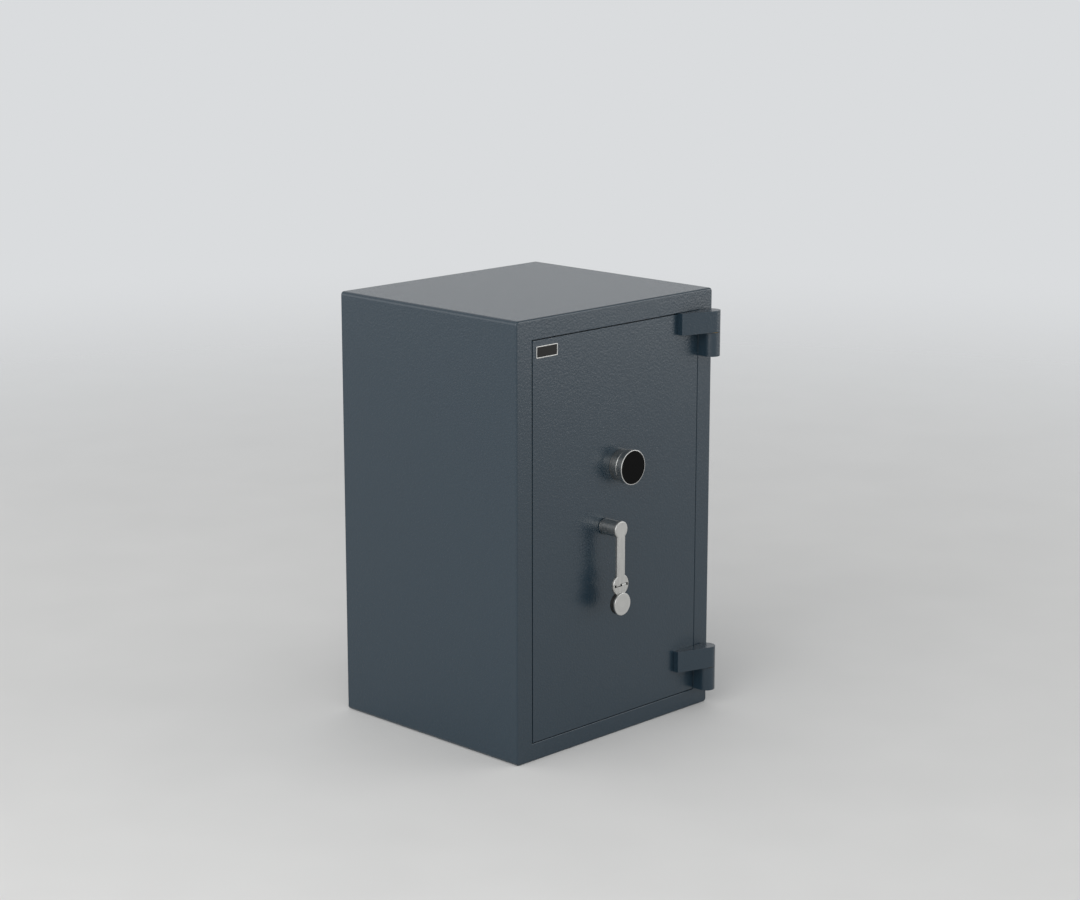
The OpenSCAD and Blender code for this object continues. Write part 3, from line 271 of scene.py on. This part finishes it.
def turned_stainless(name, centre, shades, low, high):
    """Steel turned about an axis that runs from front to back through `centre`."""
    made, tree, shader = new_material(name, Metallic=1.0)
    off = add(tree, "ShaderNodeVectorMath", {0: place(tree), 1: centre}, operation="SUBTRACT")
    across_the_axis = {0: off.outputs["Vector"], 1: (1.0, 0.0, 1.0)}
    flat = add(tree, "ShaderNodeVectorMath", across_the_axis, operation="MULTIPLY")
    radius = add(tree, "ShaderNodeVectorMath", {0: flat.outputs["Vector"]}, operation="LENGTH")
    depth = add(tree, "ShaderNodeSeparateXYZ", {"Vector": off.outputs["Vector"]})
    rings = add(tree, "ShaderNodeCombineXYZ", {"X": radius.outputs["Value"], "Y": depth.outputs["Y"]})
    lines = grain(tree, TOOL_MARK, rings.outputs["Vector"], detail=3.0)
    tree.links.new(blend_colours(tree, lines, *shades), shader.inputs["Base Color"])
    tree.links.new(spread(tree, lines, low, high), shader.inputs["Roughness"])
    tree.links.new(bump(tree, lines, 0.005 * MM), shader.inputs["Normal"])
    return made


def middle(node):
    """The middle of the box round a piece."""
    low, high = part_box(node)
    return (low + high) / 2


arm_steel = brushed_stainless(middle("fold_pin"))
lock_steel = turned_stainless("turned_stainless_lock", middle("lock_ring"), TURNED, 0.27, 0.33)
# the hub's turned steel is painted lighter than the knob's and the lock's, as painted light
hub_steel = turned_stainless("turned_stainless_hub", middle("handle_hub"), TURNED_PAINTED_LIGHTER, 0.26, 0.32)
knob_steel = turned_stainless("turned_stainless_knob", middle("knob_cap"), TURNED, 0.32, 0.40)
print("stainless steels:", arm_steel.name, lock_steel.name, hub_steel.name, knob_steel.name)

# %% [markdown]
# ## The plain working steels
#
# Bolts and hinge pins are ground smooth and plated, so that they slide. Bars, uprights, clips and screws are
# zinc plated, which is duller and slightly blue, with soft clouds where the bath left the zinc thicker. The
# washers, the spindle's bush, the drive pinion and the lock's blade are brass, which runs on steel without
# grease. These finishes differ in colour and gloss only, so one function makes all three.

# %% Ground steel, zinc plate and brass
CLOUD = 9 * MM                           # the size of the soft patches
PIT = 0.8 * MM                           # and of the fine unevenness, drawn coarser than it is


def plain_metal(name, dark, pale, low, high):
    made, tree, shader = new_material(name, Metallic=1.0)
    where = place(tree)
    clouds = grain(tree, CLOUD, where, detail=5.0)
    tree.links.new(blend_colours(tree, clouds, dark, pale), shader.inputs["Base Color"])
    tree.links.new(spread(tree, clouds, low, high), shader.inputs["Roughness"])
    tree.links.new(bump(tree, grain(tree, PIT, where), 0.004 * MM), shader.inputs["Normal"])
    return made


ground_steel = plain_metal("ground_steel", "#c2c3c4", "#d2d3d4", 0.14, 0.20)
zinc_plate = plain_metal("zinc_plate", "#8f959b", "#a9afb4", 0.30, 0.42)
machined_brass = plain_metal("machined_brass", "#b08d4c", "#c4a35f", 0.28, 0.38)
print("working metals:", ground_steel.name, zinc_plate.name, machined_brass.name)

# %% [markdown]
# ## The dark and dull finishes
#
# The lock's face is lacquered and the badge is anodised aluminium, both black. A deep matt black gives back
# almost none of the room, so its reflection is turned down on the shader itself. The body of the handle's
# knob is moulded nylon, black and a little duller, and the fold's pin and the screw in the hub are steel with
# a black oxide skin. The seal is a strip that swells in a fire, soft and grainy, and the filling of the walls
# is a hard barrier mix that is poured like concrete.
#
# One flat colour could do for each of them, because they are small or hidden. But a flat black looks like a
# hole in the picture, and a little grain in the colour, the gloss and the surface makes it a thing.


# %% Black finishes, seal and filling
def dull_finish(name, dark, pale, size, roughness, depth, **constants):
    """A finish with lumps `size` metres across and `depth` metres deep."""
    made, tree, shader = new_material(name, **constants)
    where = place(tree)
    lumps = grain(tree, size, where, detail=4.0)
    tree.links.new(blend_colours(tree, lumps, dark, pale), shader.inputs["Base Color"])
    tree.links.new(spread(tree, lumps, roughness - 0.04, roughness + 0.04), shader.inputs["Roughness"])
    tree.links.new(bump(tree, lumps, depth), shader.inputs["Normal"])
    return made


black_lacquer = dull_finish("matt_black_lacquer", "#0a0a0a", "#0d0d0d", 1.2 * MM, 0.45, 0.004 * MM,
                            Specular_IOR_Level=0.03)
moulded_black = dull_finish("moulded_black_nylon", "#151515", "#1d1d1d", 1.4 * MM, 0.50, 0.010 * MM,
                            IOR=1.53)
badge_black = dull_finish("anodised_black", "#191918", "#20201f", 1.0 * MM, 0.40, 0.004 * MM,
                          Specular_IOR_Level=0.15)
black_oxide = dull_finish("black_oxide_steel", "#1b1b1c", "#242425", 0.6 * MM, 0.45, 0.003 * MM,
                          Metallic=1.0)
fire_seal = dull_finish("intumescent_seal", "#2b2b2c", "#3a3a3b", 1.5 * MM, 0.85, 0.05 * MM, IOR=1.45)
barrier_mix = dull_finish("barrier_mix", "#84827d", "#a3a19b", 6 * MM, 0.90, 0.4 * MM, IOR=1.5)
print("dark and dull:", black_lacquer.name, moulded_black.name, badge_black.name, black_oxide.name,
      fire_seal.name, barrier_mix.name)

# %% [markdown]
# ## Which piece has which finish
#
# Most of the safe is painted, inside and out, and only what turns, slides or is gripped is bare. One table
# says which finish each piece has, because that is the first thing someone would want to change. A piece's
# finish is set on its object, not in its mesh, so the construction model stays as it is. The loop also
# counts, so that no piece is left out.

# %% Give each piece its finish
FINISHES = {
    outer_coating: """outer_shell back_plate door_frame inner_liner upper_shelf lower_shelf door_plate door_pan
        boltwork_case back_cover upper_hinge_barrel lower_hinge_barrel upper_hinge_strap
        lower_hinge_strap""",
    arm_steel: "handle_arm grip_leaf",
    knob_steel: "knob_cap",
    moulded_black: "grip_knob",
    hub_steel: "handle_hub handle_rosette",
    lock_steel: "lock_ring lock_base badge_rim",
    ground_steel: "side_bolts top_bolt bottom_bolt upper_hinge_pin lower_hinge_pin guide_studs",
    zinc_plate: """anchor_sleeve shelf_rails shelf_clips hard_plate dog_bar cover_screws lock_sleeve lock_case
        lock_cover lock_screws handle_spindle spindle_nut knob_screw side_bolt_bar side_bolt_nuts top_rod
        bottom_rod lock_spindle""",
    machined_brass: "hinge_washers spindle_bush drive_pinion lock_bolt",
    black_lacquer: "lock_face",
    black_oxide: "fold_pin hub_screw",
    badge_black: "badge_plate",
    fire_seal: "frame_seal",
    barrier_mix: "body_fill door_fill",
}
finished = set()
for finish, names in FINISHES.items():
    for name in names.split():
        for material_slot in nodes[name].material_slots:
            material_slot.link = "OBJECT"
            material_slot.material = finish
        finished.add(name)
print(f"{len(finished)} of {len(nodes)} pieces have a finish")

# %% [markdown]
# ## The screws of the boltwork's cover
#
# With the door open, eight button-head screws show round the edge of the sheet cover. Such a head could be
# carved out of a cylinder with boolean cuts, but it is turned on a lathe, and the mesh can be made the same
# way: rings of points round an axis, one after another, for the tip, the shank, the flat underside and the
# dome. The hexagon socket is punched in. Its rings lie on a hexagon and have as many points as the round
# ones, so that the faces in between stay clean quads. The last ring is the bottom of the socket.
#
# Nothing says twice where the screws are. Their places and their size are measured on the plain screws of
# the construction model, which these take the place of.

# %% Button-head screws with hexagon sockets
HEAD_SIDES = 48                          # a multiple of 6, so that points fall on the socket's corners
SHANK = 0.55                             # the shank's radius as a share of the head's
TIP_CHAMFER = 0.4 * MM
SEAT_CHAMFER = 0.1 * MM
SOCKET = 1.6 * MM                        # from the middle to a flat
SOCKET_DEPTH = 1.5 * MM
SOCKET_CHAMFER = 0.15 * MM
SOCKET_MOUTH = 1.2                       # the mouth's radius as a share of SOCKET, just past the corners
# The dome as shares of the head's radius and of its height
DOME = [(1.0, 0.12), (0.98, 0.30), (0.92, 0.55), (0.82, 0.78), (0.70, 0.92), (0.58, 1.0)]
SAME_SCREW = 12 * MM                     # points nearer to each other than this are on one screw
SAME_PLANE = 0.01 * MM


def screw_middles(node):
    """The middle of each screw, from the groups of points on the node's rearmost plane."""
    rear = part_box(node)[1].y
    groups = []
    for vertex in nodes[node].data.vertices:
        point = vertex.co.copy()
        if point.y < rear - SAME_PLANE:
            continue
        near = [group for group in groups if (group[0] - point).length < SAME_SCREW]
        if near:
            near[0].append(point)
        else:
            groups.append([point])
    middles = []
    for group in groups:
        xs = [point.x for point in group]
        zs = [point.z for point in group]
        middles.append(((min(xs) + max(xs)) / 2, (min(zs) + max(zs)) / 2))
    return middles


def hexagon(angle):
    """How far a hexagon's edge is from its middle, where a flat is 1 away."""
    half_side = math.pi / 6
    return 1 / math.cos((angle + half_side) % (2 * half_side) - half_side)


def screw_outline(tip, seat, top, head):
    """Half the screw's section, as radius, place along its axis, and whether the ring has six sides."""
    shank = SHANK * head
    stem = [(shank - TIP_CHAMFER, tip, False), (shank, tip + TIP_CHAMFER, False), (shank, seat, False)]
    dome = [(head - SEAT_CHAMFER, seat, False)]
    dome += [(head * wide, seat + (top - seat) * high, False) for wide, high in DOME]
    socket = [
        (SOCKET * SOCKET_MOUTH, top, False),
        (SOCKET, top - SOCKET_CHAMFER, True),
        (SOCKET, top - SOCKET_DEPTH, True),
    ]
    return stem, dome, socket


def ring_of_points(mesh, x, y, z, radius, six_sided):
    ring = []
    for i in range(HEAD_SIDES):
        angle = 2 * math.pi * i / HEAD_SIDES
        r = radius * (hexagon(angle) if six_sided else 1)
        ring.append(mesh.verts.new((x + r * math.cos(angle), y, z + r * math.sin(angle))))
    return ring


def button_screw(mesh, x, z, stem, dome, socket):
    """Adds one screw whose axis runs from front to back through x and z."""
    outline = stem + dome + socket
    rings = [ring_of_points(mesh, x, y, z, radius, six_sided) for radius, y, six_sided in outline]
    for k, (first, second) in enumerate(zip(rings, rings[1:])):
        on_the_dome = len(stem) <= k < len(stem) + len(dome) - 1
        for i in range(HEAD_SIDES):
            j = (i + 1) % HEAD_SIDES
            face = mesh.faces.new((first[i], first[j], second[j], second[i]))
            face.smooth = on_the_dome
    mesh.faces.new(rings[0][::-1])
    mesh.faces.new(rings[-1])


def cover_screws():
    low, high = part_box("cover_screws")
    middles = screw_middles("cover_screws")
    head = min(x for x, z in middles) - low.x
    stem, dome, socket = screw_outline(low.y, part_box("back_cover")[1].y, high.y, head)
    mesh = bmesh.new()
    for x, z in middles:
        button_screw(mesh, x, z, stem, dome, socket)
    bmesh.ops.recalc_face_normals(mesh, faces=mesh.faces)
    data = bpy.data.meshes.new("cover_button_screws")
    mesh.to_mesh(data)
    mesh.free()
    data.materials.append(zinc_plate)
    screws = bpy.data.objects.new("cover_button_screws", data)
    bpy.context.scene.collection.objects.link(screws)
    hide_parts("cover_screws")
    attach(screws, "door")
    print(f"{len(middles)} screws with heads {2 * head / MM:.1f} mm across")


cover_screws()

# %% [markdown]
# ## Broken edges
#
# No real edge is perfectly sharp. Sheet bends, machined corners and thick paint all leave a small radius,
# and that radius is what shines along an edge. The radius could be modelled, but a bevel modifier adds it
# without touching the mesh. Before it, one modifier joins the corner points that the file format keeps
# apart, and one clears the flat faces of their triangles, so that the bevel has clean edges to follow. The
# last one keeps the flat faces flat. Thick painted sheet gets the widest radius, small steel the narrowest.

# %% Soften the edges
SAME_CORNER = 0.002 * MM
FLAT = math.radians(0.5)                 # faces that meet at less than this are one flat face
SHARP = math.radians(35)                 # and only edges sharper than this are broken


def soften(names, width, segments=3):
    for name in names.split():
        piece = nodes[name]
        join = piece.modifiers.new("join_corners", "WELD")
        join.merge_threshold = SAME_CORNER
        clear = piece.modifiers.new("clear_flat_faces", "DECIMATE")
        clear.decimate_type = "DISSOLVE"
        clear.angle_limit = FLAT
        edge = piece.modifiers.new("broken_edges", "BEVEL")
        edge.width = width
        edge.segments = segments
        edge.limit_method = "ANGLE"
        edge.angle_limit = SHARP
        shade = piece.modifiers.new("flat_stays_flat", "WEIGHTED_NORMAL")
        shade.keep_sharp = True


soften("outer_shell door_frame", 1.2 * MM)
soften("door_plate", 0.9 * MM)
soften("back_plate door_pan boltwork_case back_cover upper_shelf lower_shelf dog_bar", 0.6 * MM)
soften("upper_hinge_barrel lower_hinge_barrel upper_hinge_strap lower_hinge_strap", 0.5 * MM)
soften("handle_arm grip_leaf lock_base handle_rosette badge_rim", 0.35 * MM)
soften("shelf_rails shelf_clips side_bolt_bar top_rod bottom_rod lock_case lock_cover", 0.3 * MM,
       segments=2)
print(sum(len(piece.modifiers) > 0 for piece in nodes.values()), "pieces have broken edges")

# %% [markdown]
# ## The floor
#
# A heavy dark object needs a pale, quiet place. A photographer would roll out a sheet of paper that curves up
# behind the safe. Here the floor is one wide flat disc that becomes see-through towards its rim, so that it
# melts into the room and no line cuts behind the safe, whichever side one looks from.

# %% Floor
FLOOR_RADIUS = 6.5
FADE_FROM = 1.2                          # metres from the middle at which the floor starts to melt away
FLOOR_SIDES = 96
FLOOR_CLOUD = 300 * MM


def studio_floor():
    mesh = bpy.data.meshes.new("studio_floor")
    angles = [2 * math.pi * i / FLOOR_SIDES for i in range(FLOOR_SIDES)]
    rim = [(FLOOR_RADIUS * math.cos(a), FLOOR_RADIUS * math.sin(a), 0.0) for a in angles]
    mesh.from_pydata(rim, [], [tuple(range(FLOOR_SIDES))])
    floor = bpy.data.objects.new("studio_floor", mesh)
    made, tree, shader = new_material("floor_paint", IOR=1.45, Specular_IOR_Level=0.2)
    where = place(tree)
    clouds = grain(tree, FLOOR_CLOUD, where)
    tree.links.new(blend_colours(tree, clouds, "#d7d6d4", "#dad9d7"), shader.inputs["Base Color"])
    tree.links.new(spread(tree, clouds, 0.75, 0.85), shader.inputs["Roughness"])
    away = add(tree, "ShaderNodeVectorMath", {0: where}, operation="LENGTH")
    fade = add(tree, "ShaderNodeMapRange", {
        "Value": away.outputs["Value"], "From Min": FADE_FROM, "From Max": FLOOR_RADIUS,
        "To Min": 1.0, "To Max": 0.0,
    }, interpolation_type="SMOOTHSTEP")
    tree.links.new(fade.outputs["Result"], shader.inputs["Alpha"])
    mesh.materials.append(made)
    bpy.context.scene.collection.objects.link(floor)
    return floor


print(studio_floor().name, f"is {2 * FLOOR_RADIUS:.0f} m across")

# %% [markdown]
# ## The light
#
# Much of the light comes from the pale room itself, which is the world's background. Three soft lamps shape
# it: a very large one on the left lights the side wall, a low wide one at the front right is mirrored by the
# top of the door, and a dim one at the rear left keeps the far edges apart from the floor. They are as big
# as walls because a large lamp can be dim. Small ones would give the same light, but they would burn out
# where the safe's top mirrors them.
#
# Rays that go to the camera or into a reflection see the pale room at full strength, and all others get a
# little less, so the backdrop can be pale without flooding the safe with light.

# %% Lamps and room
ROOM_COLOUR = "#dadcde"
ROOM_LIGHT = 0.84                        # the share of the room's brightness that lights the safe

# Name, place, the point it faces, width and height in metres, and watts
LAMPS = [
    ("left_softbox", (-5.2, -1.8, 3.1), (0.0, 0.0, 0.5), 8.6, 6.0, 250),
    ("right_softbox", (4.3, -4.7, 1.5), (0.1, -0.27, 0.8), 7.0, 2.8, 102),
    ("rear_softbox", (-4.6, 4.1, 2.2), (-0.3, 0.0, 0.7), 5.5, 4.0, 50),
]


def soft_lamp(name, place_at, aim, width, height, power):
    data = bpy.data.lights.new(name, "AREA")
    data.shape = "ELLIPSE"
    data.size = width
    data.size_y = height
    data.energy = power
    lamp = bpy.data.objects.new(name, data)
    lamp.location = place_at
    lamp.rotation_euler = (Vector(place_at) - Vector(aim)).to_track_quat("Z", "Y").to_euler()
    lamp.visible_camera = False
    bpy.context.scene.collection.objects.link(lamp)
    print(f"{name}: {width} by {height} m, {power} W")


def pale_room():
    world = bpy.data.worlds.new("pale_room")
    bpy.context.scene.world = world
    world.use_nodes = True
    tree = world.node_tree
    tree.nodes.clear()
    ray = add(tree, "ShaderNodeLightPath").outputs
    direct_or_mirrored = calculate(tree, "MAXIMUM", ray["Is Camera Ray"], ray["Is Glossy Ray"])
    seen = calculate(tree, "MAXIMUM", direct_or_mirrored, ray["Is Transmission Ray"])
    strength = add(tree, "ShaderNodeMapRange", {"Value": seen, "To Min": ROOM_LIGHT, "To Max": 1.0})
    light = add(tree, "ShaderNodeBackground", {
        "Color": linear(ROOM_COLOUR), "Strength": strength.outputs["Result"],
    })
    add(tree, "ShaderNodeOutputWorld", {"Surface": light.outputs["Background"]})


for lamp_settings in LAMPS:
    soft_lamp(*lamp_settings)
pale_room()
bpy.context.scene.view_settings.view_transform = "Standard"
